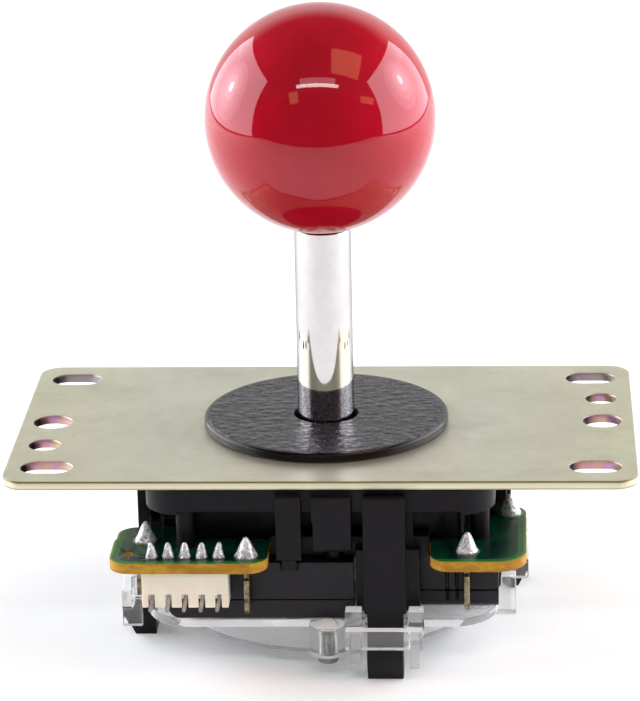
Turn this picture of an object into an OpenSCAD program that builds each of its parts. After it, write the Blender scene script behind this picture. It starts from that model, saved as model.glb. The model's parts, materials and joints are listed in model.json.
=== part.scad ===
// Ball-top arcade lever on a flat mounting plate, with four lever-operated snap switches,
// a printed circuit board and a clear snap-on restrictor gate.
// Origin: centre of the mounting plate's top face. +Z is up, towards the ball, +X runs along
// the plate's long side, and -Y is the side with the connector.

/* [Mounting plate] */
// Length of the plate along X
plate_w = 95; // [90:0.5:110]
// Depth of the plate along Y
plate_d = 53; // [53:0.5:60]
// Thickness of the plate
plate_t = 1.4; // [1.2:0.1:1.6]
// Distance between the slots' centres along X
slot_pitch_x = 82.5; // [80:0.5:84]
// Distance between the slots' centres along Y
slot_pitch_y = 40.5; // [38:0.5:41]
// Length of a slot, end to end
slot_len = 7.8; // [6:0.1:9]
// Width of a slot
slot_w = 5; // [4:0.1:5.5]
// Distance between the two round holes on the long centre line
row_pitch = 85.4; // [83:0.1:87]
// Diameter of the round holes on the centre line
row_hole_d = 5.9; // [5:0.1:6]
// Diameter of the two small offset holes
small_hole_d = 4.8; // [4:0.1:5]

/* [Lever] */
// Diameter of the ball top
ball_d = 35; // [30:0.5:40]
// Height of the ball's centre above the plate
ball_z = 48.6; // [44:0.1:56]
// Diameter of the visible part of the shaft
shaft_d = 8.7; // [8.4:0.1:8.8]
// Diameter of the shaft below its shoulder
stem_d = 6; // [5.6:0.1:6.2]
// Depth of the pivot's centre below the plate's top face
pivot_depth = 2.5; // [2.3:0.1:2.6]
// Diameter of the ball-shaped pivot bush
bush_d = 13.2; // [13:0.1:13.4]
// Diameter of the actuator's working rim
actuator_d = 16.3; // [15.6:0.1:16.4]
// Diameter of the dust washer
washer_d = 37.8; // [34:0.1:38.4]
// Diameter of the dust washer's hole
washer_hole_d = 9.9; // [9.9:0.1:10.4]

/* [Switches] */
// Length of a switch body
switch_len = 28; // [27.6:0.1:28.2]
// Depth of a switch body, from its terminal face to its plunger face
switch_depth = 15.9; // [15.5:0.1:16]
// Diameter of a plunger
plunger_d = 2.5; // [2:0.1:2.8]

/* [Hidden] */
$fn = 64;
SIDES = ["front", "right", "rear", "left"];
EPS = 0.01;

// Levels, all measured from the plate's top face
pivot_z = -pivot_depth;
flange_bottom = -5.0;
corner_bottom = -5.6;
deck_bottom = -3.4;
turret_bottom = -8.6;
board_top = -11.1;
board_t = 1.6;
board_bottom = board_top - board_t;
case_top = board_bottom - 0.15;
cover_top = -18.9;
cover_bottom = -21.85;
gate_top = -22.1;
gate_bottom = -28.2;
foot_z = -30.5;
plunger_z = -17.0;
spring_top = turret_bottom - 0.1;
spring_bottom = -17.0;

// Plan sizes
flange_half = 26.3;
flange_r = 6;
board_half = 30.9;
board_r = 4.5;
switch_face = 26.7;
switch_right = 5.1;
switch_left = switch_right - switch_len;
switch_inner = switch_face - switch_depth;
plunger_tip = 9.2;
wall = 1.5;
peg_y = -23.9;
peg_x = [switch_left + 2.8, switch_right - 3.0];
peg_r = 1.45;

// Clip legs: each is offset from its side's centre line
clip_x = 9.77;
clip_top_w = 6.3;
clip_foot_w = 5.4;
clip_in = 26.35;
clip_out = 28.5;
barb_out = 31.25;
barb_top = -25.35;

// Terminals of the front switch
no_x = -10.8;
no_pin_y = -28.4;
com_y = -22.0;
com_pin_x = -26.35;
tab_t = 0.8;
tab_bottom = -19.9;
pin_top = -9.3;

// Connector
pin_count = 5;
pin_pitch = 2.5;
pin_x0 = -24.9;
pin_y = -28.8;
shell_bottom = -18.3;

// Lever details
shoulder_z = -1.15;
shaft_end = -29.0;
ball_flat = 31.7;
stub_top = 42;
ring_z = -27.0;
ring_t = 0.8;
groove_r = 2.5;
running = 0.05;

// ---- Helpers ----

// A rectangle with round corners, centred on the origin
module rounded_outline(w, d, r) {
    square([w - 2 * r, d], center = true);
    square([w, d - 2 * r], center = true);
    for (x = [-1, 1], y = [-1, 1])
        translate([x * (w / 2 - r), y * (d / 2 - r)]) circle(r);
}

// A box from its lowest to its highest corner
module block(low, high) {
    translate(low) cube(high - low);
}

// A prism between two heights over a 2D outline
module slab(bottom, top) {
    translate([0, 0, bottom]) linear_extrude(top - bottom) children();
}

// An upright cylinder between two heights
module post(x, y, r, bottom, top) {
    translate([x, y, bottom]) cylinder(h = top - bottom, r = r);
}

// What the front side has, repeated on the other three sides
module each_side() {
    for (k = [0:3]) rotate(90 * k) children();
}

// A profile drawn as [distance from the lever's axis, height], extruded along the front side
module side_profile(x_low, x_high, points) {
    translate([x_low, 0, 0]) rotate([90, 0, 90])
        linear_extrude(x_high - x_low) polygon([for (p = points) [-p[0], p[1]]]);
}

// ---- Mounting plate and its screws ----

screw_at = 9.5;
screw_head_r = 2.8;

module slot_outline() {
    translate([-(slot_len - slot_w) / 2, 0]) circle(slot_w / 2);
    translate([(slot_len - slot_w) / 2, 0]) circle(slot_w / 2);
    square([slot_len - slot_w, slot_w], center = true);
}

module mounting_plate() {
    small_x = row_pitch / 2;
    small_y = 10.4;
    centre_hole_r = 9;
    color("#bdbca8") difference() {
        slab(-plate_t, 0) rounded_outline(plate_w, plate_d, 3.5);
        for (x = [-1, 1], y = [-1, 1])
            translate([x * slot_pitch_x / 2, y * slot_pitch_y / 2, 0])
                slab(-plate_t - 1, 1) slot_outline();
        for (x = [-1, 1]) post(x * row_pitch / 2, 0, row_hole_d / 2, -plate_t - 1, 1);
        post(-small_x, -small_y, small_hole_d / 2, -plate_t - 1, 1);
        post(small_x, small_y, small_hole_d / 2, -plate_t - 1, 1);
        post(0, 0, centre_hole_r, -plate_t - 1, 1);
        for (x = [-1, 1], y = [-1, 1])
            translate([x * screw_at, y * screw_at, -plate_t])
                cylinder(h = plate_t + EPS, r1 = 1.6, r2 = screw_head_r + 0.05);
    }
}

module plate_screws() {
    recess = 0.9;
    color("#8e8f88") for (x = [-1, 1], y = [-1, 1])
        translate([x * screw_at, y * screw_at, 0]) difference() {
            union() {
                translate([0, 0, -plate_t - 0.02])
                    cylinder(h = plate_t, r1 = 1.5, r2 = screw_head_r - 0.05);
                post(0, 0, 1.45, -8, -plate_t);
            }
            for (a = [0, 90]) rotate(a)
                block([-1.5, -0.35, -recess], [1.5, 0.35, 1]);
        }
}

// ---- Upper housing: flange, pivot socket, pegs, columns and clip legs ----

module clip_leg() {
    leg = [[clip_in, -2.2], [clip_out, -2.2], [clip_out, barb_top], [clip_in, barb_top]];
    barb = [[clip_in, barb_top + EPS], [clip_out, barb_top + EPS], [clip_out, barb_top],
            [barb_out, barb_top], [barb_out, -27.2], [29.6, foot_z], [clip_in, foot_z]];
    side_profile(clip_x - clip_top_w / 2, clip_x + clip_top_w / 2,
        [[clip_in, -2.2], [clip_out, -2.2], [clip_out, -20.5], [clip_in, -20.5]]);
    side_profile(clip_x - clip_foot_w / 2, clip_x + clip_foot_w / 2, leg);
    side_profile(clip_x - clip_foot_w / 2, clip_x + clip_foot_w / 2, barb);
}

module side_ribs() {
    // Narrow post that keys into the switch
    side_profile(-6.4, -2.6, [[26.2, -2.1], [27.9, -2.1], [27.9, -12.1], [26.2, -12.1]]);
    side_profile(-5.6, -3.4, [[26.75, -12.0], [27.7, -12.0], [27.7, -13.9], [26.75, -13.9]]);
    // Wide stop block with a thicker head
    side_profile(-1.1, 4.9, [[26.2, -2.2], [27.8, -2.2], [27.8, -6.1], [26.2, -6.1]]);
    side_profile(-0.9, 4.9, [[25.4, -5.9], [27.5, -5.9], [27.5, -10.4], [26.9, -11.1],
                             [25.4, -11.1]]);
}

module corner_column() {
    // Column between two switches, joined to the deck by a recessed web
    block([5.4, -26.5, -20.8], [15.0, -23.4, -10.9]);
    block([8.6, -25.0, -11], [14.0, -23.4, deck_bottom + 0.5]);
}

module lintel() {
    // Lip that covers the board's edge between the lobes, down to the switch
    block([notch_x[0] + 0.2, -24.4, -11.0], [notch_x[1] - 0.2, -21.0, -9.6]);
    block([notch_x[0] + 0.2, -24.4, board_bottom - 0.05], [notch_x[1] - 0.2, notch_y - 0.15, -10.9]);
}

module upper_housing() {
    socket_r = bush_d / 2 + 0.15;
    throat_r = 4.6;
    box_half = 21.5;
    color("#2a272c") difference() {
        union() {
            slab(deck_bottom, -plate_t)
                rounded_outline(2 * flange_half, 2 * flange_half, flange_r);
            difference() {
                slab(flange_bottom, deck_bottom + EPS)
                    rounded_outline(2 * flange_half, 2 * flange_half, flange_r);
                slab(flange_bottom - 1, deck_bottom)
                    rounded_outline(2 * flange_half - 4, 2 * flange_half - 4, flange_r - 2);
            }
            intersection() {
                slab(corner_bottom, deck_bottom + EPS)
                    rounded_outline(2 * flange_half, 2 * flange_half, flange_r);
                for (x = [-1, 1], y = [-1, 1]) translate([x * 23.9, y * 23.9, -10])
                    cube([5.6, 5.6, 20], center = true);
            }
            difference() {
                slab(board_top + 0.05, deck_bottom + EPS)
                    rounded_outline(2 * box_half, 2 * box_half, 3);
                slab(board_top - 1, deck_bottom)
                    rounded_outline(2 * box_half - 3.6, 2 * box_half - 3.6, 1.2);
            }
            post(0, 0, 11, turret_bottom, deck_bottom + EPS);
            for (x = [-1, 1], y = [-1, 1])
                post(x * screw_at, y * screw_at, 3.2, -9.2, deck_bottom + EPS);
            each_side() {
                clip_leg();
                side_ribs();
                corner_column();
                lintel();
                for (x = peg_x) post(x, peg_y, peg_r, -21.6, deck_bottom + EPS);
            }
        }
        translate([0, 0, pivot_z]) sphere(socket_r, $fn = 96);
        post(0, 0, socket_r, pivot_z, 1);
        post(0, 0, throat_r, -20, pivot_z);
        for (x = [-1, 1], y = [-1, 1])
            post(x * screw_at, y * screw_at, 1.5, -8.1, 0);
    }
}

// ---- Circuit board, solder and connector ----

notch_x = [-7.6, 16.6];
notch_y = -23.0;
lobe_r = 3;

module board_outline() {
    // The lobe under the header reaches a little further out than the others
    header_lobe = [23.6, 12];
    translate([notch_x[0] - header_lobe[0] / 2, -board_half - 0.8 + header_lobe[1] / 2])
        rounded_outline(header_lobe[0], header_lobe[1], lobe_r);
    difference() {
        rounded_outline(2 * board_half, 2 * board_half, board_r);
        each_side() {
            translate([notch_x[0], -board_half - 1])
                square([notch_x[1] - notch_x[0], notch_y + board_half + 1]);
            difference() {
                translate([notch_x[0] - lobe_r, -board_half - 1])
                    square([lobe_r + EPS, lobe_r + 1]);
                translate([notch_x[0] - lobe_r, -board_half + lobe_r]) circle(lobe_r);
            }
            difference() {
                translate([notch_x[1] - EPS, -board_half - 1])
                    square([lobe_r, lobe_r + 1]);
                translate([notch_x[1] + lobe_r - EPS, -board_half + lobe_r]) circle(lobe_r);
            }
        }
    }
}

module circuit_board() {
    centre_r = 12;
    tooling_r = 0.75;
    color("#0b4a3a") difference() {
        slab(board_bottom, board_top) board_outline();
        post(0, 0, centre_r, board_bottom - 1, board_top + 1);
        each_side() {
            for (x = peg_x) post(x, peg_y, peg_r + 0.15, board_bottom - 1, board_top + 1);
            block([no_x - tab_t / 2 - 0.1, no_pin_y - 0.8, board_bottom - 1],
                  [no_x + tab_t / 2 + 0.1, no_pin_y + 0.8, board_top + 1]);
            block([com_pin_x - 0.8, com_y - tab_t / 2 - 0.1, board_bottom - 1],
                  [com_pin_x + 0.8, com_y + tab_t / 2 + 0.1, board_top + 1]);
        }
        for (i = [0:pin_count - 1])
            post(pin_x0 + i * pin_pitch, pin_y, 0.5, board_bottom - 1, board_top + 1);
        post(-28.6, -27.6, tooling_r, board_bottom - 1, board_top + 1);
        for (x = [-1, 1], y = [-1, 1])
            post(x * screw_at, y * screw_at, 2, board_bottom - 1, board_top + 1);
    }
}

module solder_cone(base_r, tip_r, height) {
    cylinder(h = 0.4, r = base_r);
    translate([0, 0, 0.4 - EPS]) cylinder(h = height - 0.4, r1 = base_r * 0.86, r2 = tip_r);
}

module solder_joints() {
    color("#c9cbcc") difference() {
        union() {
            each_side() {
                translate([no_x, no_pin_y, board_top + EPS]) solder_cone(1.6, 0.55, 3.0);
                translate([com_pin_x, com_y, board_top + EPS]) solder_cone(1.6, 0.55, 3.0);
            }
            for (i = [0:pin_count - 1])
                translate([pin_x0 + i * pin_pitch, pin_y, board_top + EPS])
                    solder_cone(0.9, 0.4, 2.3);
        }
        each_side() {
            block([no_x - tab_t / 2 - 0.02, no_pin_y - 0.72, board_bottom],
                  [no_x + tab_t / 2 + 0.02, no_pin_y + 0.72, pin_top + 0.02]);
            block([com_pin_x - 0.72, com_y - tab_t / 2 - 0.02, board_bottom],
                  [com_pin_x + 0.72, com_y + tab_t / 2 + 0.02, pin_top + 0.02]);
        }
        for (i = [0:pin_count - 1])
            block([pin_x0 + i * pin_pitch - 0.34, pin_y - 0.34, board_bottom],
                  [pin_x0 + i * pin_pitch + 0.34, pin_y + 0.34, pin_top + 0.02]);
    }
}

module connector_shell() {
    x_low = -26.3;
    x_high = -13.4;
    front = -31.2;
    back = -26.9;
    shell_wall = 0.8;
    slot_top = -16.2;
    color("#efe6d2") difference() {
        block([x_low, front, shell_bottom], [x_high, back, board_bottom - 0.05]);
        block([x_low + shell_wall, front + shell_wall, shell_bottom - 1],
              [x_high - shell_wall, back - shell_wall, -14.2]);
        for (i = [0:pin_count - 1])
            block([pin_x0 + i * pin_pitch - 0.5, front - 1, shell_bottom - 1],
                  [pin_x0 + i * pin_pitch + 0.5, front + shell_wall + 0.2, slot_top]);
        for (i = [0:pin_count - 1])
            block([pin_x0 + i * pin_pitch - 0.36, pin_y - 0.36, -15],
                  [pin_x0 + i * pin_pitch + 0.36, pin_y + 0.36, -10]);
    }
}

module connector_pins() {
    half = 0.32;
    color("#c8b890") for (i = [0:pin_count - 1])
        block([pin_x0 + i * pin_pitch - half, pin_y - half, -19.5],
              [pin_x0 + i * pin_pitch + half, pin_y + half, pin_top]);
}

// ---- Switches, drawn as the front one ----

module case_profile(x_low, x_high, bottom, top, r) {
    // Outline seen from the front, with round lower corners
    length = x_high - x_low;
    intersection() {
        translate([x_low, bottom]) square([length, top - bottom]);
        translate([x_low + length / 2, bottom + length / 2]) rounded_outline(length, length, r);
    }
}

module switch_holes() {
    for (x = peg_x) post(x, peg_y, peg_r + 0.12, -30, 0);
}

module end_grooves() {
    // Two grooves in the end face, with a key between them
    for (y = [-20.45, -18.95])
        block([switch_left - 1, y - 0.2, -20.4], [switch_left + 0.4, y + 0.2, case_top + 1]);
}

module switch_case() {
    color("#232024") difference() {
        block([switch_left, -switch_face, cover_top + 0.1],
              [switch_right, -switch_inner, case_top]);
        difference() {
            block([switch_left + wall, -switch_face + wall, cover_top],
                  [switch_right - wall, -switch_inner - 1.2, case_top - wall]);
            for (x = peg_x) post(x, peg_y, 2.7, -30, 0);
        }
        switch_holes();
        translate([0, -switch_inner + 1, plunger_z]) rotate([90, 0, 0])
            cylinder(h = 4, r = plunger_d / 2 + 0.1);
        block([no_x - tab_t / 2 - 0.05, -switch_face - 1, cover_top],
              [no_x + tab_t / 2 + 0.05, -switch_face + wall + 1, -14.9]);
        block([switch_left - 1, com_y - tab_t / 2 - 0.05, cover_top],
              [switch_left + wall + 1, com_y + tab_t / 2 + 0.05, -14.9]);
        end_grooves();
        // Rebate along the outer corner
        block([switch_left - 1, -switch_face - 1, cover_top],
              [switch_left + 0.35, -switch_face + 0.35, case_top + 1]);
        // Keyway for the housing's post
        block([-5.8, -switch_face - 1, -14.1], [-3.2, -switch_face + 0.15, case_top + 1]);
    }
}

module switch_cover() {
    cover_r = 1.8;
    color("#272428") difference() {
        translate([0, -switch_inner, 0]) rotate([90, 0, 0])
            linear_extrude(switch_depth)
                case_profile(switch_left, switch_right, cover_bottom, cover_top, cover_r);
        difference() {
            block([switch_left + wall + 0.3, -switch_face + wall + 0.3, cover_top - 0.9],
                  [switch_right - wall - 0.3, -switch_inner - 1.2, cover_top + 1]);
            for (x = peg_x) post(x, peg_y, 2.7, -30, 0);
        }
        switch_holes();
        end_grooves();
    }
}

module switch_terminals() {
    color("#b9a878") {
        // Normally-open tab on the outer face, with its board pin
        block([no_x - tab_t / 2, -29.6, tab_bottom], [no_x + tab_t / 2, -switch_face - 0.05, -14.6]);
        block([no_x - tab_t / 2, -switch_face - 0.1, -18.7],
              [no_x + tab_t / 2, -24.2, -15.0]);
        block([no_x - tab_t / 2, no_pin_y - 0.7, -14.7],
              [no_x + tab_t / 2, no_pin_y + 0.7, pin_top]);
        // Common tab on the end face, with its board pin
        block([-28.0, com_y - tab_t / 2, tab_bottom],
              [switch_left - 0.05, com_y + tab_t / 2, -14.6]);
        block([switch_left - 0.1, com_y - tab_t / 2, -18.7],
              [-21.7, com_y + tab_t / 2, -15.0]);
        block([com_pin_x - 0.7, com_y - tab_t / 2, -14.7],
              [com_pin_x + 0.7, com_y + tab_t / 2, pin_top]);
    }
}

module switch_blade() {
    blade_y = -15.0;
    color("#b87333") block([-20.5, blade_y, -19.0], [2.6, blade_y + 0.3, -16.2]);
}

module plunger() {
    tip_r = plunger_d / 2;
    flange_y = switch_inner + 2.4;
    color("#a01c22") {
        translate([0, -plunger_tip - 0.7, plunger_z]) rotate([90, 0, 0])
            cylinder(h = flange_y + 0.5 - plunger_tip - 0.7, r = tip_r);
        translate([0, -plunger_tip, plunger_z]) rotate([90, 0, 0])
            cylinder(h = 0.7 + EPS, r1 = tip_r - 0.6, r2 = tip_r);
        translate([0, -flange_y, plunger_z]) rotate([90, 0, 0])
            cylinder(h = 1.0, r = 2.1);
    }
}

// ---- Restrictor gate ----

gate_deck_bottom = -23.4;
ring_r = 16.6;
boss_x = 1.1;
boss_y = -27.6;
boss_r = 2.8;

module gate_loop() {
    // Band in front of the clip leg, its ears and its posts
    band = [3.8, 15.4];
    block([band[0], -31.25, -25.2], [band[1], -29.6, -22.1]);
    for (x = [[3.8, 6.3], [13.25, 15.6]]) {
        block([x[0], -29.65, -23.0], [x[1], -27.2, -19.6]);
        block([x[0], -29.65, gate_deck_bottom], [x[1], -24.5, gate_top]);
    }
    for (x = [[4.5, 6.2], [13.4, 14.9]])
        block([x[0], -31.25, gate_bottom], [x[1], -28.2, -22.2]);
}

module restrictor_gate() {
    color("#e9ecec", 0.35) difference() {
        union() {
            slab(gate_deck_bottom, gate_top) rounded_outline(53, 53, 7);
            difference() {
                post(0, 0, 25, gate_bottom, gate_deck_bottom + EPS);
                post(0, 0, 22.6, gate_bottom - 1, gate_deck_bottom);
            }
            each_side() gate_loop();
            // Boss for the screw
            post(boss_x, boss_y, boss_r, -27.0, gate_top);
            // Catches that hold the turning ring
            for (a = [45:90:315]) rotate(a) {
                block([17.0, -2, -26.8], [18.4, 2, gate_deck_bottom + EPS]);
                block([15.9, -2, -26.8], [17.1, 2, -26.1]);
            }
            // Edge tabs on the left and the right
            for (k = [0, 1]) rotate(180 * k) {
                block([-29.3, 13, -26], [-26, 15.4, gate_top]);
                block([-29.3, 13, gate_top - EPS], [-27.0, 15.4, -19.6]);
            }
        }
        post(0, 0, 13, gate_deck_bottom - 1, gate_top + 1);
        post(boss_x, boss_y, 1.05, -27.1, gate_top - 0.8);
        each_side()
            block([clip_x - 3.2, -28.9, -30], [clip_x + 3.2, -25.9, -18]);
        for (k = [0:3]) rotate(90 * k) for (x = peg_x)
            post(x, peg_y, peg_r + 0.3, gate_top - 1, gate_top + 1);
    }
}

module gate_ring() {
    half = 7.65;
    notch_r = 1.2;
    color("#dfe4e4", 0.4) difference() {
        post(0, 0, ring_r, -25.9, gate_deck_bottom - 0.1);
        slab(-27, -23) rounded_outline(2 * half, 2 * half, 2.5);
        for (a = [0:45:315]) rotate(a + 22.5) post(ring_r + 0.3, 0, notch_r, -27, -23);
    }
}

module gate_screw() {
    color("#7f8a80") translate([boss_x, boss_y, 0]) difference() {
        union() {
            post(0, 0, 1.0, -27.2, -23.6);
            translate([0, 0, -28.3]) cylinder(h = 1.25, r1 = 1.5, r2 = 2.0);
        }
        for (a = [0, 90]) rotate(a) block([-1.1, -0.25, -29], [1.1, 0.25, -27.7]);
    }
}

// ---- Lever ----

module shaft() {
    r = shaft_d / 2;
    stem_r = stem_d / 2;
    tip_r = 2.95;
    color("#d9dcdf") difference() {
        rotate_extrude($fn = 96) polygon([
            [0, shaft_end], [stem_r - 0.5, shaft_end], [stem_r, shaft_end + 0.5],
            [stem_r, ring_z - ring_t - 0.05], [groove_r, ring_z - ring_t - 0.05],
            [groove_r, ring_z + 0.02], [stem_r, ring_z + 0.02],
            [stem_r, shoulder_z], [r - 0.25, shoulder_z], [r, shoulder_z + 0.25],
            [r, ball_flat - 0.3], [r - 0.3, ball_flat], [tip_r, ball_flat],
            [tip_r, stub_top - 0.6], [tip_r - 0.6, stub_top], [0, stub_top]]);
        block([-6, -0.5, shaft_end - 1], [6, 0.5, shaft_end + 1.2]);
    }
}

module ball_top() {
    color("#c4161f") difference() {
        translate([0, 0, ball_z]) sphere(ball_d / 2, $fn = 128);
        post(0, 0, ball_d, ball_flat - 10, ball_flat);
        post(0, 0, 4.25, ball_flat - 1, 44.5);
    }
}

module ball_insert() {
    color("#c9a24a") difference() {
        post(0, 0, 4.2, ball_flat + 0.02, 44.4);
        post(0, 0, 3.0, ball_flat - 1, 43.4);
    }
}

module pivot_bush() {
    color("#e6e4dc") difference() {
        intersection() {
            translate([0, 0, pivot_z]) sphere(bush_d / 2, $fn = 96);
            post(0, 0, bush_d, -7.2, shoulder_z - 0.05);
        }
        post(0, 0, stem_d / 2 + running, -20, 5);
    }
}

// Points of the coil's centre line and of the ring around each, worked out by a formula
spring_r = 6.1;
wire_r = 0.55;
turns = 4.5;
ring_sides = 8;
rings_per_turn = 24;

function coil_point(t) = [
    spring_r * cos(360 * t * turns), spring_r * sin(360 * t * turns),
    spring_bottom + wire_r + t * (spring_top - spring_bottom - 2 * wire_r)];

function coil_ring(t) = let (a = 360 * t * turns, p = coil_point(t))
    [for (j = [0:ring_sides - 1]) let (b = 360 * j / ring_sides)
        p + wire_r * [cos(b) * cos(a), cos(b) * sin(a), sin(b)]];

module centring_spring() {
    count = turns * rings_per_turn;
    points = [for (i = [0:count]) each coil_ring(i / count)];
    sides = [for (i = [0:count - 1], j = [0:ring_sides - 1])
        let (k = (j + 1) % ring_sides, a = i * ring_sides)
        [a + j, a + k, a + ring_sides + k, a + ring_sides + j]];
    first = [[for (j = [ring_sides - 1:-1:0]) j]];
    last = [[for (j = [0:ring_sides - 1]) count * ring_sides + j]];
    color("#aeb2b5") polyhedron(points, concat(sides, first, last), convexity = 8);
}

module actuator() {
    rim = actuator_d / 2;
    bore = stem_d / 2 + running;
    color("#e9e7df") rotate_extrude($fn = 96) polygon([
        [bore, -26.4], [4.3, -26.4], [4.6, -26.1], [4.6, -21.6], [rim, -20.0], [rim, -15.4],
        [rim - 0.2, -15.2], [7.1, -15.2], [7.1, spring_bottom - 0.05],
        [bore, spring_bottom - 0.05]]);
}

module shaft_washer() {
    color("#cfd2d4") difference() {
        post(0, 0, 4.6, -26.95, -26.45);
        post(0, 0, stem_d / 2 + running, -28, -25);
    }
}

module e_ring() {
    color("#8d9194") difference() {
        post(0, 0, 4.8, ring_z - ring_t, ring_z);
        post(0, 0, groove_r + 0.03, -29, -26);
        block([-1.7, -6, -29], [1.7, 0, -26]);
        for (a = [30, 150]) rotate(a) block([groove_r - 0.5, -0.6, -29], [3.6, 0.6, -26]);
    }
}

module dust_washer() {
    rim = washer_d / 2;
    bore = washer_hole_d / 2;
    color("#3b383b") rotate_extrude($fn = 128) polygon([
        [bore, 0.05], [rim - 0.15, 0.05], [rim, 0.2], [rim, 1.2], [rim - 0.35, 1.5],
        [bore + 0.3, 1.5], [bore, 1.2]]);
}

// ---- Assembly ----

mounting_plate();
plate_screws();
upper_housing();
circuit_board();
solder_joints();
connector_shell();
connector_pins();
restrictor_gate();
gate_ring();
gate_screw();
shaft();
ball_top();
ball_insert();
pivot_bush();
centring_spring();
actuator();
shaft_washer();
e_ring();
dust_washer();
for (k = [0:3]) {
    side = SIDES[k];
    rotate(90 * k) switch_case();
    rotate(90 * k) switch_cover();
    rotate(90 * k) switch_terminals();
    rotate(90 * k) switch_blade();
    rotate(90 * k) plunger();
}
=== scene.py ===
"""Looks for the ball-top arcade lever: finished shapes, materials, light, floor and camera.

Every length in this file is in millimetres unless its name says otherwise, in the CAD's frame:
the origin is the centre of the mounting plate's top face, +Z is up and -Y is the connector's side.
"""

import json
import math
import random

import bmesh
import bpy
from mathutils import Matrix, Vector, noise

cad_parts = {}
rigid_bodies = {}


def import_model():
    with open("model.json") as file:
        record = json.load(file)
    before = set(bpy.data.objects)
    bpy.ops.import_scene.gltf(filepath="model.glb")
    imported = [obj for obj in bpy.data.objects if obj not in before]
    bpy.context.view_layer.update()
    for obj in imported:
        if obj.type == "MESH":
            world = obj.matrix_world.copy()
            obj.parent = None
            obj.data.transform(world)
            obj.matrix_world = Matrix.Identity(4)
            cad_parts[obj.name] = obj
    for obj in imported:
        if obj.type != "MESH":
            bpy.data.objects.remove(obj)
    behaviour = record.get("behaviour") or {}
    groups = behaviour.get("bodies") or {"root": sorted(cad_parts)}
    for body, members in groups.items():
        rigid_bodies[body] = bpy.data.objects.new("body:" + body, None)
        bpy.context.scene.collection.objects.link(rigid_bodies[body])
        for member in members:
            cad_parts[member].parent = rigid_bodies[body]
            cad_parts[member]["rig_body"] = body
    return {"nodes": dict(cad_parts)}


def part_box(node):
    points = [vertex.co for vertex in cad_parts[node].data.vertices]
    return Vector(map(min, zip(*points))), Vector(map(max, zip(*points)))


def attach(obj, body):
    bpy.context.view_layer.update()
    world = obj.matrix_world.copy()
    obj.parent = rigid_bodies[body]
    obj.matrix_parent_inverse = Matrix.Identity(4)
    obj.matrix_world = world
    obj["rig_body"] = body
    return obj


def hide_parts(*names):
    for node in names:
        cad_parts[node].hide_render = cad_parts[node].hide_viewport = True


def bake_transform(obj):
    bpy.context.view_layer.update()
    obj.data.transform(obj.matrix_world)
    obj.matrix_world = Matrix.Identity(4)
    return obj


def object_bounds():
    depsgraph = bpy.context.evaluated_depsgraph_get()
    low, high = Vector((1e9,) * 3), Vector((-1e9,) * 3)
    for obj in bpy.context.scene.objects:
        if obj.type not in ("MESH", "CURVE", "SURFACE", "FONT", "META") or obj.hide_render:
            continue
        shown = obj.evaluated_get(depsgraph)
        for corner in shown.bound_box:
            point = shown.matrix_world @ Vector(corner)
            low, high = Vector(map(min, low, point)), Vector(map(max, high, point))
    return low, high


MM = 0.001
SIDES = ["front", "right", "rear", "left"]

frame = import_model()
cad_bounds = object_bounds()


# ---- Materials ----


def srgb(code):
    """A linear RGBA colour from a hex code."""
    parts = [int(code[i : i + 2], 16) / 255 for i in (0, 2, 4)]
    return [p / 12.92 if p < 0.04045 else ((p + 0.055) / 1.055) ** 2.4 for p in parts] + [1]


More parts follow.
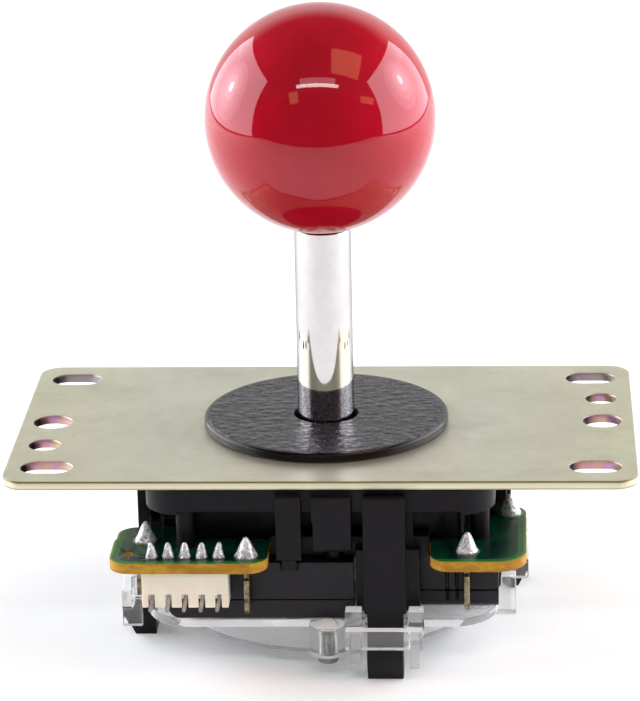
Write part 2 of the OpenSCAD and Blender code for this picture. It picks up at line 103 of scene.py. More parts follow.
class Shader:
    """The nodes of one material. Sizes are in millimetres of the object's own space."""

    def __init__(self, name):
        self.material = bpy.data.materials.new(name)
        self.material.use_nodes = True
        self.tree = self.material.node_tree
        self.surface = self.tree.nodes["Principled BSDF"]
        self.metres = self.node("ShaderNodeTexCoord").outputs["Object"]
        self.height = None

    def node(self, kind, values=None, **settings):
        made = self.tree.nodes.new(kind)
        for key, value in settings.items():
            setattr(made, key, value)
        for socket, value in (values or {}).items():
            self.feed(made.inputs[socket], value)
        return made

    def feed(self, socket, value):
        """Links an output to a socket, or sets the socket's number or colour."""
        if isinstance(value, bpy.types.NodeSocket):
            self.tree.links.new(value, socket)
        else:
            socket.default_value = value

    def position(self, stretch=(1, 1, 1)):
        """The place on the object in millimetres, with each axis divided by its stretch."""
        scale = [1 / (MM * s) for s in stretch]
        return self.node("ShaderNodeMapping", {"Vector": self.metres, "Scale": scale}).outputs[0]

    def axis(self, vector, letter):
        return self.node("ShaderNodeSeparateXYZ", {"Vector": vector}).outputs[letter]

    def grain(self, size, detail=3, roughness=0.55, stretch=(1, 1, 1)):
        """Noise from 0 to 1 whose features are about size across."""
        values = {
            "Vector": self.position(stretch),
            "Scale": 1 / size,
            "Detail": detail,
            "Roughness": roughness,
        }
        return self.node("ShaderNodeTexNoise", values).outputs["Fac"]

    def cells(self, size, stretch=(1, 1, 1)):
        """Voronoi distance, in which one cell is about size across."""
        values = {"Vector": self.position(stretch), "Scale": 1 / size}
        return self.node("ShaderNodeTexVoronoi", values, feature="F1").outputs["Distance"]

    def maths(self, operation, a, b=0.0):
        made = self.node("ShaderNodeMath", operation=operation)
        self.feed(made.inputs[0], a)
        self.feed(made.inputs[1], b)
        return made.outputs[0]

    def vector_maths(self, operation, a, b=(0, 0, 0)):
        made = self.node("ShaderNodeVectorMath", operation=operation)
        self.feed(made.inputs[0], a)
        self.feed(made.inputs[1], b)
        return made.outputs["Value" if operation == "LENGTH" else "Vector"]

    def remap(self, value, source, target):
        values = {
            "Value": value,
            "From Min": source[0],
            "From Max": source[1],
            "To Min": target[0],
            "To Max": target[1],
        }
        return self.node("ShaderNodeMapRange", values).outputs["Result"]

    def ramp(self, value, stops):
        """A colour by value, through stops of (position, colour)."""
        made = self.node("ShaderNodeValToRGB", {"Fac": value})
        elements = made.color_ramp.elements
        elements.remove(elements[1])
        elements[0].position, elements[0].color = stops[0]
        for place, colour in stops[1:]:
            elements.new(place).color = colour
        return made.outputs["Color"]

    def mix(self, share, a, b):
        made = self.node("ShaderNodeMix", data_type="RGBA")
        for index, value in ((0, share), (6, a), (7, b)):
            self.feed(made.inputs[index], value)
        return made.outputs[2]

    def tint(self, a, b):
        """Colour a times colour b."""
        made = self.node("ShaderNodeMix", data_type="RGBA", blend_type="MULTIPLY")
        for index, value in ((0, 1.0), (6, a), (7, b)):
            self.feed(made.inputs[index], value)
        return made.outputs[2]

    def upright(self):
        """How far the surface faces up or down: 1 on a level face and 0 on a wall."""
        normal = self.node("ShaderNodeNewGeometry").outputs["Normal"]
        return self.maths("ABSOLUTE", self.axis(normal, "Z"))

    def relief(self, height, depth):
        """Adds a bump in which a height of 1 is depth millimetres."""
        values = {"Height": height, "Distance": depth * MM, "Strength": 1.0}
        made = self.node("ShaderNodeBump", values)
        if self.height is not None:
            self.feed(made.inputs["Normal"], self.height)
        self.height = made.outputs["Normal"]
        self.feed(self.surface.inputs["Normal"], self.height)

    def finish(self, **values):
        for name, value in values.items():
            self.feed(self.surface.inputs[name.replace("_", " ")], value)
        return self.material


def moulded_plastic(name, dark, light, roughness=0.42, gloss=0.3):
    """Moulded plastic with a fine spark texture and faint flow marks."""
    s = Shader(name)
    flow = s.grain(7, detail=4, stretch=(1, 1, 2.5))
    spark = s.grain(0.14, detail=2)
    colour = s.mix(s.remap(flow, (0.3, 0.7), (0, 1)), srgb(dark), srgb(light))
    shine = s.remap(s.grain(1.6), (0.3, 0.7), (roughness - 0.06, roughness + 0.07))
    s.relief(spark, 0.01)
    s.relief(flow, 0.03)
    return s.finish(Base_Color=colour, Roughness=shine, Specular_IOR_Level=gloss)


def metal(
    name, dark, light, roughness=0.3, stretch=(1, 1, 1), grain=0.3, depth=0.006, stain_size=3.5
):
    """Plated or drawn metal with tool marks along the stretched axis."""
    s = Shader(name)
    marks = s.grain(grain, detail=4, stretch=stretch)
    stain = s.grain(stain_size, detail=5, roughness=0.65)
    colour = s.mix(s.remap(stain, (0.3, 0.7), (0, 1)), srgb(dark), srgb(light))
    shine = s.remap(marks, (0.25, 0.75), (roughness - 0.08, roughness + 0.12))
    s.relief(marks, depth)
    return s.finish(Base_Color=colour, Metallic=1.0, Roughness=shine)


def plate_material():
    """Zinc plate with a yellow passivate: satin and olive-grey, gold and pink where it is cut,
    with painted dark shade lines along the outer edge's top and bottom and painted shade and
    highlight on the hole walls by which way they face.
    """
    s = Shader("plate")
    place = s.position()
    x, y, z = (s.axis(place, letter) for letter in "XYZ")
    cloud = s.grain(16, detail=6, roughness=0.6)
    mottle = s.grain(2.2, detail=5, roughness=0.65)
    scratches = s.grain(0.22, detail=3, stretch=(26, 1, 1))
    rolled = s.grain(0.5, detail=4, stretch=(9, 1, 1))
    face = s.mix(s.remap(cloud, (0.32, 0.68), (0, 1)), srgb("b7b8a2"), srgb("c6c7b3"))
    smudge = s.grain(9, detail=5, stretch=(1.7, 1, 1))
    face = s.mix(s.remap(mottle, (0.45, 0.85), (0, 0.22)), face, srgb("b2b294"))
    face = s.mix(s.remap(smudge, (0.55, 0.75), (0, 0.45)), face, srgb("9d9d88"))
    face = s.mix(s.remap(rolled, (0.5, 0.8), (0, 0.1)), face, srgb("d6d6c8"))
    yellow = s.remap(s.maths("ABSOLUTE", x), (26, 44), (0, 0.4))
    face = s.mix(s.maths("MULTIPLY", yellow, cloud), face, srgb("c9c68a"))
    speck = s.remap(s.grain(0.6, detail=1), (0.74, 0.78), (0, 0.5))
    face = s.mix(speck, face, srgb("6d6c58"))
    # The outer edge's own cream-gold colour, with painted dark shade lines along its top and
    # bottom.
    cut = s.ramp(
        s.remap(z, (-1.4, 0.0), (0, 1)),
        [
            (0.0, srgb("6b5c40")),
            (0.12, srgb("b8b08c")),
            (0.28, srgb("e4e2c9")),
            (0.7, srgb("dcd8b4")),
            (0.85, srgb("948c62")),
            (0.96, srgb("4a452c")),
        ],
    )
    rainbow = s.ramp(
        s.grain(2.6, detail=2),
        [
            (0.38, srgb("d3b4d2")),
            (0.5, srgb("e4b9b4")),
            (0.6, srgb("e0cba6")),
            (0.68, srgb("c3c4ac")),
        ],
    )
    rainbow = s.mix(s.remap(y, (12, 17), (0, 0.85)), rainbow, srgb("a9a9a2"))
    along, across = s.maths("ABSOLUTE", x), s.maths("ABSOLUTE", y)
    past_ends = s.maths("GREATER_THAN", along, 47.2)
    past_sides = s.maths("GREATER_THAN", across, 26.2)
    past_corners = s.maths("GREATER_THAN", s.maths("ADD", along, across), 70.6)
    outside = s.maths("MAXIMUM", s.maths("MAXIMUM", past_ends, past_sides), past_corners)
    # Painted shade and highlight on the hole walls: walls that face -X are painted white and walls
    # that face +X dark.
    facing = s.axis(s.node("ShaderNodeNewGeometry").outputs["Normal"], "X")
    painted_wall_shading = s.ramp(
        s.remap(facing, (-1, 1), (0, 1)),
        [(0.1, srgb("ffffff")), (0.6, srgb("dccbd8")), (0.9, srgb("17151a"))],
    )
    walls = s.mix(outside, s.tint(rainbow, painted_wall_shading), cut)
    level = s.remap(s.upright(), (0.55, 0.9), (0, 1))
    colour = s.mix(level, walls, face)
    shine = s.remap(mottle, (0.3, 0.7), (0.32, 0.44))
    s.relief(scratches, 0.0025)
    s.relief(mottle, 0.004)
    return s.finish(Base_Color=colour, Metallic=0.7, Roughness=shine)


def washer_material(rim):
    """Black plastic with an embossed leather grain inside a smooth rim; its colour is painted
    darker in the grain's creases and between its pebbles, as painted shade.
    """
    s = Shader("washer_plastic")
    place = s.position()
    across = s.vector_maths("MULTIPLY", place, (1, 1, 0))
    radius = s.vector_maths("LENGTH", across)
    inside = s.remap(radius, (rim - 0.8, rim - 0.5), (1, 0))
    waves = s.grain(1.8, detail=4, roughness=0.6, stretch=(1.5, 1, 1))
    wrinkle = s.maths("ABSOLUTE", s.maths("SUBTRACT", waves, 0.5))
    crease = s.remap(wrinkle, (0.0, 0.025), (0, 1))
    pebble = s.remap(s.cells(1.3, stretch=(1.4, 1, 1)), (0.1, 0.7), (1, 0.6))
    leather = s.maths("MULTIPLY", s.maths("MULTIPLY", crease, pebble), inside)
    s.relief(leather, 0.3)
    s.relief(s.maths("MULTIPLY", s.grain(0.45, detail=3), inside), 0.07)
    # Painted shade: darker in the grain's creases and between its pebbles.
    grain_colour_painted_shade = s.mix(leather, srgb("020103"), srgb("1f1a21"))
    shine = s.remap(leather, (0, 1), (0.22, 0.3))
    gloss = s.remap(leather, (0, 1), (0.12, 0.4))
    gloss = s.maths("MAXIMUM", gloss, s.remap(inside, (0, 1), (0.34, 0)))
    return s.finish(Base_Color=grain_colour_painted_shade, Roughness=shine, Specular_IOR_Level=gloss)


def board_material(board, lobe_centre, lobe_half):
    """Green solder mask that thins towards the board's edges, and a gold glass-fibre edge."""
    s = Shader("circuit_board")
    place = s.position()

    def depth_inside(centre, half, corner):
        local = s.vector_maths("SUBTRACT", place, (*centre, 0))
        local = s.vector_maths("ABSOLUTE", s.vector_maths("MULTIPLY", local, (1, 1, 0)))
        past = s.vector_maths("SUBTRACT", local, (half[0] - corner, half[1] - corner, 0))
        past = s.vector_maths("LENGTH", s.vector_maths("MAXIMUM", past))
        return s.maths("SUBTRACT", corner, past)

    main = depth_inside((0, 0), (board, board), 4.5)
    lobe = depth_inside(lobe_centre, lobe_half, 3.0)
    inside = s.maths("MAXIMUM", main, lobe)
    weave = s.grain(0.5, detail=2, stretch=(3, 1, 1))
    cloud = s.grain(3.2, detail=4)
    copper = s.remap(s.grain(5.5, detail=0.5), (0.49, 0.51), (0, 1))
    mask = s.mix(copper, srgb("032a20"), srgb("073f2d"))
    mask = s.mix(s.remap(cloud, (0.35, 0.75), (0, 0.5)), mask, srgb("021f18"))
    mask = s.mix(s.remap(inside, (1.1, 1.5), (1, 0)), mask, srgb("1f6a34"))
    mask = s.mix(s.remap(inside, (0.1, 0.5), (1, 0)), mask, srgb("83962f"))
    fibre = s.grain(1.2, detail=4, stretch=(2.5, 2.5, 1))
    edge = s.ramp(
        fibre,
        [
            (0.3, srgb("a26f14")),
            (0.45, srgb("b27f1a")),
            (0.6, srgb("c69a2c")),
            (0.75, srgb("b57322")),
        ],
    )
    level = s.remap(s.upright(), (0.6, 0.9), (0, 1))
    colour = s.mix(level, edge, mask)
    shine = s.remap(level, (0, 1), (0.6, 0.24))
    s.relief(weave, 0.006)
    return s.finish(Base_Color=colour, Roughness=shine, Specular_IOR_Level=0.3)


def solder_material():
    s = Shader("solder")
    lumps = s.grain(0.55, detail=3)
    colour = s.mix(s.remap(lumps, (0.35, 0.6), (0, 1)), srgb("b4b6b7"), srgb("ffffff"))
    shine = s.remap(s.grain(0.3), (0.3, 0.7), (0.18, 0.4))
    s.relief(lumps, 0.2)
    return s.finish(Base_Color=colour, Metallic=0.45, Roughness=shine)


def connector_material():
    s = Shader("connector")
    cloud = s.grain(4, detail=3)
    colour = s.mix(s.remap(cloud, (0.3, 0.7), (0, 1)), srgb("f1e6cd"), srgb("faf3e0"))
    s.relief(s.grain(0.2, detail=2), 0.006)
    return s.finish(
        Base_Color=colour,
        Roughness=s.remap(s.grain(1.2), (0.3, 0.7), (0.4, 0.55)),
        Subsurface_Weight=0.25,
        Subsurface_Scale=0.001,
    )


def glowing_edges_material():
    """The light-catching edges of the clear moulding, which look milky; their faint emission is a
    painted glow that stands in for the light collecting in them.
    """
    s = Shader("clear_edges_painted_glow")
    cloud = s.grain(3.5, detail=2)
    colour = s.mix(s.remap(cloud, (0.3, 0.7), (0, 1)), srgb("f2f3f2"), srgb("ffffff"))
    s.relief(cloud, 0.02)
    return s.finish(
        Base_Color=colour,
        Roughness=s.remap(cloud, (0.3, 0.7), (0.15, 0.3)),
        IOR=1.36,
        Transmission_Weight=0.3,
        # Painted glow: these edges are no lamp.
        Emission_Color=srgb("fbfffb"),
        Emission_Strength=0.14,
    )


def clear_material():
    """Moulded polycarbonate: clear, with faint flow waves and a few hairline scratches."""
    s = Shader("clear_plastic")
    flow = s.grain(4.5, detail=2)
    scratches = s.remap(s.grain(0.2, detail=2, stretch=(1, 14, 6)), (0.62, 0.8), (0, 1))
    colour = s.mix(s.remap(flow, (0.3, 0.7), (0, 1)), srgb("fafbfb"), srgb("ffffff"))
    shine = s.remap(scratches, (0, 1), (0.035, 0.3))
    s.relief(flow, 0.12)
    outer = s.vector_maths("ABSOLUTE", s.position())
    outer = s.maths("MAXIMUM", s.axis(outer, "X"), s.axis(outer, "Y"))
    clear = s.remap(outer, (28.4, 28.6), (0.78, 0.93))
    return s.finish(Base_Color=colour, Roughness=shine, IOR=1.36, Transmission_Weight=clear)


def ball_material():
    """Glossy phenolic red with a barely visible moulding ripple."""
    s = Shader("ball_plastic")
    depth = s.grain(6, detail=3)
    colour = s.mix(s.remap(depth, (0.3, 0.7), (0, 1)), srgb("ab0d20"), srgb("b61126"))
    dust = s.remap(s.grain(0.25, detail=2), (0.66, 0.78), (0, 1))
    shine = s.remap(dust, (0, 1), (0.035, 0.16))
    s.relief(s.grain(5, detail=1), 0.006)
    return s.finish(Base_Color=colour, Roughness=shine, IOR=1.52)


def chrome_material():
    s = Shader("shaft_chrome")
    turning = s.grain(0.18, detail=3, stretch=(8, 8, 1))
    haze = s.grain(3, detail=4)
    colour = s.mix(s.remap(haze, (0.3, 0.7), (0, 1)), srgb("cfcfce"), srgb("dadad8"))
    shine = s.remap(haze, (0.3, 0.7), (0.03, 0.07))
    s.relief(turning, 0.0006)
    edge = (0.5, 0.5, 0.52, 1)
    return s.finish(Base_Color=colour, Metallic=1.0, Roughness=shine, Specular_Tint=edge)


def nylon_material():
    s = Shader("nylon")
    cloud = s.grain(3.5, detail=3)
    colour = s.mix(s.remap(cloud, (0.3, 0.7), (0, 1)), srgb("dcd8cb"), srgb("ece9de"))
    s.relief(s.grain(0.15, detail=2), 0.006)
    return s.finish(
        Base_Color=colour,
        Roughness=s.remap(cloud, (0.3, 0.7), (0.38, 0.5)),
        Subsurface_Weight=0.2,
        Subsurface_Scale=0.001,
    )


# ---- Shapes ----


def new_object(name, mesh_data):
    """A smooth-shaded object from a bmesh, which is freed."""
    data = bpy.data.meshes.new(name)
    mesh_data.to_mesh(data)
    mesh_data.free()
    data.polygons.foreach_set("use_smooth", [True] * len(data.polygons))
    obj = bpy.data.objects.new(name, data)
    bpy.context.scene.collection.objects.link(obj)
    return obj


def weight_normals(obj):
    """Keeps flat faces flat next to their rounded edges."""
    shading = obj.modifiers.new("weighted_normals", "WEIGHTED_NORMAL")
    shading.mode = "FACE_AREA"
    shading.weight = 80


def finished(obj, node, slot, *finishes):
    """Makes obj stand for a CAD node, on that node's body."""
    for material in finishes:
        obj.data.materials.append(material)
    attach(obj, frame["nodes"][node]["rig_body"])
    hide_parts(node)
    return obj


def rounded_copy(node, width):
    """A copy of a CAD node's mesh with its sharp edges rounded over by width."""
    merge = 0.0005 * MM
    mesh = bmesh.new()
    mesh.from_mesh(frame["nodes"][node].data)
    bmesh.ops.remove_doubles(mesh, verts=mesh.verts, dist=merge)
    bmesh.ops.dissolve_degenerate(mesh, dist=merge, edges=mesh.edges)
    limit = math.radians(32)
    sharp = [e for e in mesh.edges if len(e.link_faces) == 2 and e.calc_face_angle() > limit]
    bmesh.ops.bevel(
        mesh,
        geom=sharp,
        offset=width * MM,
        segments=2,
        profile=0.5,
        affect="EDGES",
        clamp_overlap=False,
    )
    for face in mesh.faces:
        face.material_index = 0
    obj = new_object(node + "_finished", mesh)
    obj.data.materials.clear()
    weight_normals(obj)
    return obj


def paint_edges_glow(obj):
    """Gives the gate's outermost edges the second material, whose emission is a painted glow for
    the light that collects in them.
    """
    rim_inner, rim_outer, rim_low, loops_from = 26.3, 26.7, -23.5, 27.0
    for face in obj.data.polygons:
        out = max(abs(face.center.x), abs(face.center.y)) / MM
        level = abs(face.normal.z) > 0.7
        rim = not level and rim_inner < out < rim_outer and face.center.z / MM > rim_low
        if rim or (level and out > loops_from):
            face.material_index = 1
    return obj


def fillets(points):
    """A profile with its corners rounded: points are (radius, height, fillet radius)."""
    steps = 5
    made = []
    count = len(points)
    for i, (r, z, fillet) in enumerate(points):
        corner = Vector((r, z))
        if fillet == 0:
            made.append(corner)
            continue
        before = Vector(points[i - 1][:2]) - corner
        after = Vector(points[(i + 1) % count][:2]) - corner
        half = before.angle(after) / 2
        reach = fillet / math.tan(half)
        start = corner + before.normalized() * reach
        end = corner + after.normalized() * reach
        for k in range(steps + 1):
            t = k / steps
            made.append(start.lerp(corner, t).lerp(corner.lerp(end, t), t))
    return made


def lathe(name, profile, segments=128):
    """A solid of revolution about Z. Profile points are (radius, height), and they close."""
    mesh = bmesh.new()
    rings = []
    for r, z in profile:
        if r < 1e-6:
            rings.append([mesh.verts.new((0, 0, z * MM))] * segments)
            continue
        turns = [2 * math.pi * k / segments for k in range(segments)]
        rings.append(
            [mesh.verts.new((r * MM * math.cos(a), r * MM * math.sin(a), z * MM)) for a in turns]
        )
    for low, high in zip(rings, rings[1:] + rings[:1]):
        for k in range(segments):
            n = (k + 1) % segments
            corners = list(dict.fromkeys([low[k], low[n], high[n], high[k]]))
            if len(corners) > 2:
                mesh.faces.new(corners)
    bmesh.ops.recalc_face_normals(mesh, faces=mesh.faces)
    obj = new_object(name, mesh)
    weight_normals(obj)
    return obj


def tube(mesh, path, radius, sides):
    """Sweeps a round section of the given radius along a path of points, with closed ends."""
    rings = []
    for i, point in enumerate(path):
        along = (path[min(i + 1, len(path) - 1)] - path[max(i - 1, 0)]).normalized()
        across = along.cross(Vector((0, 0, 1))).normalized()
        upward = across.cross(along)
        turns = [2 * math.pi * (k + 0.5) / sides for k in range(sides)]
        spokes = [across * math.cos(a) + upward * math.sin(a) for a in turns]
        rings.append([mesh.verts.new((point + spoke * radius) * MM) for spoke in spokes])
    for low, high in zip(rings, rings[1:]):
        for k in range(sides):
            n = (k + 1) % sides
            mesh.faces.new([low[k], low[n], high[n], high[k]])
    mesh.faces.new(rings[0][::-1])
    mesh.faces.new(rings[-1])


def ball_shape():
    low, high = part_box("ball_top")
    radius = (high.x - low.x) / 2 / MM
    centre = high.z / MM - radius
    flat = low.z / MM
    bore = 4.25
    bore_end = 44.5
    first = math.asin((flat - centre) / radius)
    arc = [first + (math.pi / 2 - first) * k / 72 for k in range(73)]
    outside = [(radius * math.cos(a), centre + radius * math.sin(a)) for a in arc]
    lip = fillets([(0, bore_end, 0), (bore, bore_end, 0), (bore, flat, 0.12)])
    return lathe("ball_top_finished", [tuple(p) for p in lip] + outside, segments=160)


def washer_shape():
    low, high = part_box("dust_washer")
    rim = high.x / MM
    under, top = low.z / MM, high.z / MM
    bore = 4.95
    profile = fillets(
        [
            (bore, under, 0.08),
            (rim - 0.12, under, 0.1),
            (rim, under + 0.3, 0.12),
            (rim, top - 0.3, 0.12),
            (rim - 0.3, top, 0.12),
            (bore, top, 0.25),
        ]
    )
    return lathe("dust_washer_finished", profile, segments=192)


def solder_shapes():
    """Hand-soldered cones, each a little different, with the pin's tip showing."""
    low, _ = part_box("solder_joints")
    base = low.z / MM
    rng = random.Random(11)
    big = []
    for k in range(4):
        turn = Matrix.Rotation(math.pi / 2 * k, 3, "Z")
        big += [turn @ Vector((-10.8, -28.4, 0)), turn @ Vector((-26.35, -22.0, 0))]
    small = [Vector((-24.9 + 2.5 * i, -28.8, 0)) for i in range(5)]
    mesh = bmesh.new()
    sizes = [(c, 1.75, 0.42, 2.98) for c in big] + [(c, 0.95, 0.34, 2.28) for c in small]
    for centre, wide, narrow, height in sizes:
        lean = Vector((rng.uniform(-0.18, 0.18), rng.uniform(-0.12, 0.12), 0))
        seed = rng.uniform(0, 100)
        solder_cone(mesh, centre, base, wide, narrow, height, lean, seed)
    return new_object("solder_joints_finished", mesh)


def solder_cone(mesh, centre, base, wide, narrow, height, lean, seed):
    sides, rows = 26, 16
    rings = []
    for i in range(rows + 1):
        t = i / rows
        fall = (1 - t) ** 1.12
        radius = narrow + (wide - narrow) * fall
        if t > 0.82:
            radius = narrow * (1.12 - 0.3 * (t - 0.82) / 0.18)
        if i == rows:
            radius *= 0.6
        ring = []
        for k in range(sides):
            a = 2 * math.pi * k / sides
            out = Vector((math.cos(a), math.sin(a), 0))
            lump = noise.noise(Vector((out.x * 1.6, out.y * 1.6, t * 2.4 + seed)))
            reach = radius * (1 + 0.16 * lump * (1 - 0.5 * t))
            point = centre + lean * t * t + out * reach
            ring.append(mesh.verts.new(Vector((point.x, point.y, base + height * t)) * MM))
        rings.append(ring)
    for low, high in zip(rings, rings[1:]):
        for k in range(sides):
            n = (k + 1) % sides
            mesh.faces.new([low[k], low[n], high[n], high[k]])
    mesh.faces.new(rings[0][::-1])
    mesh.faces.new(rings[-1])


def solder_pads():
    """Thin tinned rings on the board round the larger cones."""
    mesh = bmesh.new()
    sides = 40
    for k in range(4):
        turn = Matrix.Rotation(math.pi / 2 * k, 3, "Z")
        for place in (Vector((-10.8, -28.4, 0)), Vector((-26.35, -22.0, 0))):
            centre = turn @ place
            rings = []
            for radius, z in ((1.45, -11.1), (2.0, -11.1), (1.97, -11.075), (1.45, -11.075)):
                turns = [2 * math.pi * j / sides for j in range(sides)]
                spokes = [Vector((math.cos(a), math.sin(a), 0)) * radius for a in turns]
                level = Vector((centre.x, centre.y, z))
                rings.append([mesh.verts.new((level + spoke) * MM) for spoke in spokes])
            for low, high in zip(rings, rings[1:] + rings[:1]):
                for j in range(sides):
                    n = (j + 1) % sides
                    mesh.faces.new([low[j], low[n], high[n], high[j]])
    bmesh.ops.recalc_face_normals(mesh, faces=mesh.faces)
    obj = new_object("solder_pads", mesh)
    obj.data.materials.append(materials["pad"])
    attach(obj, "housing")
    return obj


def pin_shapes():
    """Square tinned pins that lean a little below the connector's floor."""
    low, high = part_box("connector_pins")
    rng = random.Random(5)
    mesh = bmesh.new()
    half = 0.32
    for i in range(5):
        x = -24.9 + 2.5 * i
        lean = Vector((-0.62 + rng.uniform(-0.06, 0.06), 0, 0))
        stations = [
            (Vector((x, -28.8, high.z / MM)), 0.6),
            (Vector((x, -28.8, high.z / MM - 0.25)), 1.0),
            (Vector((x, -28.8, -14.5)), 1.0),
            (Vector((x + 0.25, -29.95, -16.0)), 1.0),
            (Vector((x + 0.25, -29.95, -19.1)) + lean * 0.95, 1.0),
            (Vector((x + 0.25, -29.95, low.z / MM + 0.01)) + lean, 0.6),
        ]
        rings = []
        for point, share in stations:
            corners = [(-1, -1), (1, -1), (1, 1), (-1, 1)]
            offsets = [Vector((a, b, 0)) * half * share for a, b in corners]
            rings.append([mesh.verts.new((point + offset) * MM) for offset in offsets])
        for upper, lower in zip(rings, rings[1:]):
            for k in range(4):
                n = (k + 1) % 4
                mesh.faces.new([upper[k], lower[k], lower[n], upper[n]])
        mesh.faces.new(rings[0])
        mesh.faces.new(rings[-1][::-1])
    bmesh.ops.recalc_face_normals(mesh, faces=mesh.faces)
    upright_edges = [e for e in mesh.edges if e.calc_face_angle() > math.radians(50)]
    bmesh.ops.bevel(mesh, geom=upright_edges, offset=0.05 * MM, segments=2, affect="EDGES")
    obj = new_object("connector_pins_finished", mesh)
    weight_normals(obj)
    return obj


def spring_shape():
    """A coil spring with closed end turns, kept clear of the housing when its top tilts."""
    low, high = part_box("centring_spring")
    wire = 0.55
    radius = high.x / MM - wire
    bottom, top = low.z / MM + wire, high.z / MM - wire - 0.85
    turns, steps = 4.5, 44
    path = []
    for i in range(int(turns * steps) + 1):
        t = i / (turns * steps)
        a = 2 * math.pi * turns * t
        rise = t - 0.1 * math.sin(2 * math.pi * t)
        path.append(
            Vector((radius * math.cos(a), radius * math.sin(a), bottom + (top - bottom) * rise))
        )
    mesh = bmesh.new()
    tube(mesh, path, wire, 16)
    bmesh.ops.recalc_face_normals(mesh, faces=mesh.faces)
    return new_object("centring_spring_finished", mesh)


def blade_shape(side):
    """A switch's leaf spring, built in steps along its length."""
    low, high = (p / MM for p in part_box("front_switch_blade"))
    steps = 40
    mesh = bmesh.new()
    rings = []
    for i in range(steps + 1):
        x = low.x + (high.x - low.x) * i / steps
        narrow = 0.72 if 0.12 < i / steps < 0.5 else 1.0
        half = (high.z - low.z) / 2 * narrow
        middle = (high.z + low.z) / 2
        corners = [(low.y, middle - half), (high.y, middle - half)]
        corners += [(high.y, middle + half), (low.y, middle + half)]
        rings.append([mesh.verts.new(Vector((x, y, z)) * MM) for y, z in corners])
    for near, far in zip(rings, rings[1:]):
        for k in range(4):
            n = (k + 1) % 4
            mesh.faces.new([near[k], near[n], far[n], far[k]])
    mesh.faces.new(rings[0][::-1])
    mesh.faces.new(rings[-1])
    bmesh.ops.recalc_face_normals(mesh, faces=mesh.faces)
    turn = Matrix.Rotation(math.pi / 2 * SIDES.index(side), 4, "Z")
    bmesh.ops.transform(mesh, matrix=turn, verts=mesh.verts)
    obj = new_object(side + "_switch_blade_finished", mesh)
    weight_normals(obj)
    return obj, turn


# ---- The object ----

materials = {
    "plate": plate_material(),
    "plate_fastener": metal("plate_fastener", "8b8c84", "a9a99d", roughness=0.34),
    "black_plastic": moulded_plastic("black_plastic", "0a080c", "110e14", gloss=0.2),
    "switch_case": moulded_plastic("switch_case", "0b090e", "120f17", roughness=0.38),
    "switch_cover": moulded_plastic("switch_cover", "0e0b12", "16121a", roughness=0.4),
    "circuit_board": board_material(30.9, (-19.4, -25.7), (11.8, 6.0)),
    "solder": solder_material(),
    "pad": metal("pad", "5d8a55", "8fae7d", roughness=0.3),
    "connector": connector_material(),
    "contact_metal": metal(
        "contact_metal", "2b251d", "b5a888", 0.4, grain=0.5, depth=0.02, stain_size=1
    ),
    "pin_metal": metal("pin_metal", "7f776d", "bdb6ab", roughness=0.36, stretch=(1, 1, 4)),
    "blade_copper": metal("blade_copper", "a9683a", "c98752", roughness=0.28),
    "clear_plastic": clear_material(),
    "clear_edges_painted_glow": glowing_edges_material(),
    "dark_fastener": metal("dark_fastener", "5f6a60", "8a958a", roughness=0.3),
    "shaft_chrome": chrome_material(),
    "ball_plastic": ball_material(),
    "insert_brass": metal("insert_brass", "b08d3f", "d0b060", roughness=0.25),
    "nylon": nylon_material(),
    "spring_steel": metal("spring_steel", "8d9194", "b6babd", roughness=0.26),
    "washer_plastic": washer_material(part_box("dust_washer")[1].x / MM),
    "plunger_plastic": moulded_plastic("plunger_plastic", "8f171c", "a51d22", roughness=0.35),
}

# CAD nodes that keep their shape, with their slot and the width of their rounded edges
ROUNDED = {
    "mounting_plate": ("plate", 0.16),
    "plate_screws": ("plate_fastener", 0.06),
    "upper_housing": ("black_plastic", 0.16),
    "circuit_board": ("circuit_board", 0.05),
    "connector_shell": ("connector", 0.12),
    "restrictor_gate": ("clear_plastic", 0.2),
    "gate_ring": ("clear_plastic", 0.15),
    "gate_screw": ("dark_fastener", 0.06),
    "shaft": ("shaft_chrome", 0.05),
    "ball_insert": ("insert_brass", 0.1),
    "pivot_bush": ("nylon", 0.12),
    "actuator": ("nylon", 0.12),
    "shaft_washer": ("spring_steel", 0.06),
    "e_ring": ("spring_steel", 0.06),
}
for side in SIDES:
    ROUNDED[side + "_switch_case"] = ("switch_case", 0.12)
    ROUNDED[side + "_switch_cover"] = ("switch_cover", 0.12)
    ROUNDED[side + "_switch_terminals"] = ("contact_metal", 0.06)
    ROUNDED[side + "_plunger"] = ("plunger_plastic", 0.08)

for node, (slot, width) in ROUNDED.items():
    finished(rounded_copy(node, width), node, slot, materials[slot])
paint_edges_glow(bpy.data.objects["restrictor_gate_finished"]).data.materials.append(
    materials["clear_edges_painted_glow"]
)

finished(ball_shape(), "ball_top", "ball_plastic", materials["ball_plastic"])
finished(washer_shape(), "dust_washer", "washer_plastic", materials["washer_plastic"])
finished(solder_shapes(), "solder_joints", "solder", materials["solder"])
finished(pin_shapes(), "connector_pins", "contact_metal", materials["pin_metal"])
solder_pads()

spring = spring_shape()
spring.data.materials.append(materials["spring_steel"])
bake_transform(spring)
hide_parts("centring_spring")

for side in SIDES:
    blade, turn = blade_shape(side)
    blade.data.materials.append(materials["blade_copper"])
    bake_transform(blade)
    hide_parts(side + "_switch_blade")


# ---- Floor, light and camera ----


def floor_material():
    s = Shader("floor")
    paper = s.grain(1.4, detail=4)
    colour = s.mix(s.remap(paper, (0.3, 0.7), (0, 1)), srgb("f0f3f1"), srgb("f7faf8"))
    s.relief(paper, 0.05)
    return s.finish(
        Base_Color=colour,
        Roughness=0.9,
        Emission_Color=srgb("ffffff"),
        Emission_Strength=0.15,
    )


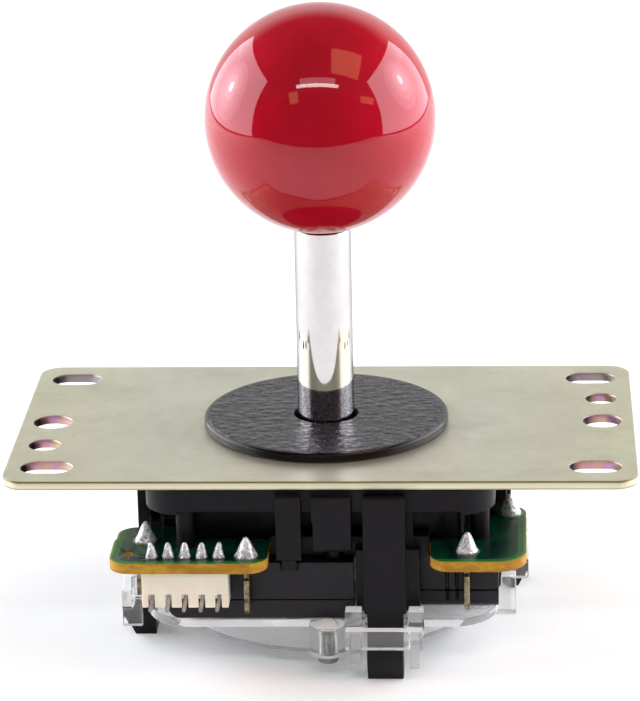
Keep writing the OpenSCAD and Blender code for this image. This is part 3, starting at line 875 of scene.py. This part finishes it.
def make_floor():
    """A pale patch of floor, sized in metres, that ends where the panels stop lighting it."""
    mesh = bmesh.new()
    side, front, rear = 0.449, -0.329, 0.6
    corners = ((-side, front), (side, front), (side, rear), (-side, rear))
    mesh.faces.new([mesh.verts.new((x, y, 0)) for x, y in corners])
    floor = new_object("floor", mesh)
    floor.location.z = cad_bounds[0].z
    floor.data.materials.append(floor_material())


def area_light(name, place, target, size, radiance, colour=(1, 1, 1), shape="RECTANGLE", roll=0):
    """A lamp, with its place, target and size in metres and its roll in degrees."""
    data = bpy.data.lights.new(name, "AREA")
    data.shape = shape
    data.size, data.size_y = size
    data.energy = radiance * math.pi * size[0] * size[1]
    data.color = colour
    lamp = bpy.data.objects.new(name, data)
    lamp.location = place
    aim = (Vector(target) - Vector(place)).to_track_quat("-Z", "Y").to_matrix()
    lamp.rotation_euler = (aim @ Matrix.Rotation(math.radians(roll), 3, "Z")).to_euler()
    lamp.visible_camera = False
    bpy.context.scene.collection.objects.link(lamp)
    return lamp


def make_lights():
    cool = (0.93, 0.91, 1.0)
    for name, sign, height in (("left", -1, 0.177), ("right", 1, 0.231)):
        wall = sign * 0.45
        spot, middle = (0, 0.137, height), (0, 0.2, 0.21)
        area_light(name + "_softbox", (wall, *middle[1:]), middle, (0.8, 0.46), 4.0, cool)
        gleam = area_light(name + "_gleam", (wall, *middle[1:]), middle, (0.8, 0.46), 1.8, cool)
        gleam.visible_diffuse = False
        for step, (size, glow) in enumerate(((0.34, 0.8), (0.24, 0.8), (0.15, 1.2), (0.06, 6))):
            place = (wall - sign * 0.001 * (step + 1), *spot[1:])
            area_light(f"{name}_glow_{step}", place, spot, (size, size), glow, cool, "ELLIPSE")
    area_light("strip", (0.01, -0.75, 0.85), (0, 0, 0), (0.78, 0.07), 11)
    area_light("strip_glow", (0.01, -0.72, 0.93), (0, 0, 0), (0.66, 0.16), 2, cool)
    warm = (1.0, 0.5, 0.25)
    ball = (0, 0, 0.048)
    area_light("warm_panel", (0.35, -0.2, 0.8), ball, (0.42, 0.38), 2.4, warm, roll=38)
    windows = (
        ("left_window", (-0.148, -0.303, 0.263), (0.06, 0.08), 20),
        ("right_window", (0.315, -0.217, 0.219), (0.1, 0.045), -25),
    )
    for name, place, size, roll in windows:
        window = area_light(name, place, ball, size, 2.4, warm, roll=roll)
        window.visible_diffuse = False


def make_flag():
    """Black cards round the front, seen only in reflections, which end the bright table there."""
    mesh = bmesh.new()
    floor_z = cad_bounds[0].z
    path = [(-0.47, 0.62), (-0.47, -0.33), (0.47, -0.33), (0.47, 0.62)]
    low, high = ([mesh.verts.new((x, y, z)) for x, y in path] for z in (floor_z, 0.3))
    for k in range(3):
        mesh.faces.new([low[k], low[k + 1], high[k + 1], high[k]])
    card = new_object("front_flag", mesh)
    s = Shader("flag")
    felt = s.mix(s.grain(0.8), srgb("1a1416"), srgb("221a1c"))
    card.data.materials.append(s.finish(Base_Color=felt, Roughness=0.9))
    card.visible_camera = card.visible_diffuse = card.visible_shadow = False


def make_world():
    """White behind and along the horizon, and dim in front and overhead."""
    world = bpy.data.worlds.new("studio")
    world.use_nodes = True
    tree = world.node_tree
    background = tree.nodes["Background"]
    direction = tree.nodes.new("ShaderNodeTexCoord").outputs["Generated"]
    tilt = tree.nodes.new("ShaderNodeVectorMath")
    tilt.operation = "DOT_PRODUCT"
    tilt.inputs[1].default_value = (0, 0.8, -0.6)
    tree.links.new(direction, tilt.inputs[0])
    ramp = tree.nodes.new("ShaderNodeValToRGB")
    elements = ramp.color_ramp.elements
    elements[0].position, elements[0].color = 0.1, (0.09, 0.09, 0.1, 1)
    elements[1].position, elements[1].color = 0.4, (1, 1, 1, 1)
    tree.links.new(tilt.outputs["Value"], ramp.inputs["Fac"])
    seen = tree.nodes.new("ShaderNodeLightPath").outputs["Is Camera Ray"]
    mix = tree.nodes.new("ShaderNodeMix")
    mix.data_type = "RGBA"
    tree.links.new(seen, mix.inputs[0])
    tree.links.new(ramp.outputs["Color"], mix.inputs[6])
    mix.inputs[7].default_value = (1, 1, 1, 1)
    tree.links.new(mix.outputs[2], background.inputs["Color"])
    bpy.context.scene.world = world


def make_camera():
    """The camera that the object was seen from, worked out from the plate's corners and holes."""
    right = Vector((0.99845, 0.05161, -0.02108))
    up = Vector((0.00353, 0.31880, 0.94782))
    back = Vector((0.05563, -0.94642, 0.31813))
    data = bpy.data.cameras.new("camera")
    data.sensor_width = 36
    data.lens = 184.6
    data.clip_start, data.clip_end = 0.05, 50
    camera = bpy.data.objects.new("camera", data)
    place = Vector((30.07, -524.60, 187.92)) * MM
    turn = Matrix((right, up, back)).transposed().to_4x4()
    camera.matrix_world = Matrix.Translation(place) @ turn
    bpy.context.scene.collection.objects.link(camera)
    bpy.context.scene.camera = camera


make_floor()
make_lights()
make_flag()
make_world()
make_camera()
bpy.context.scene.view_settings.view_transform = "Standard"
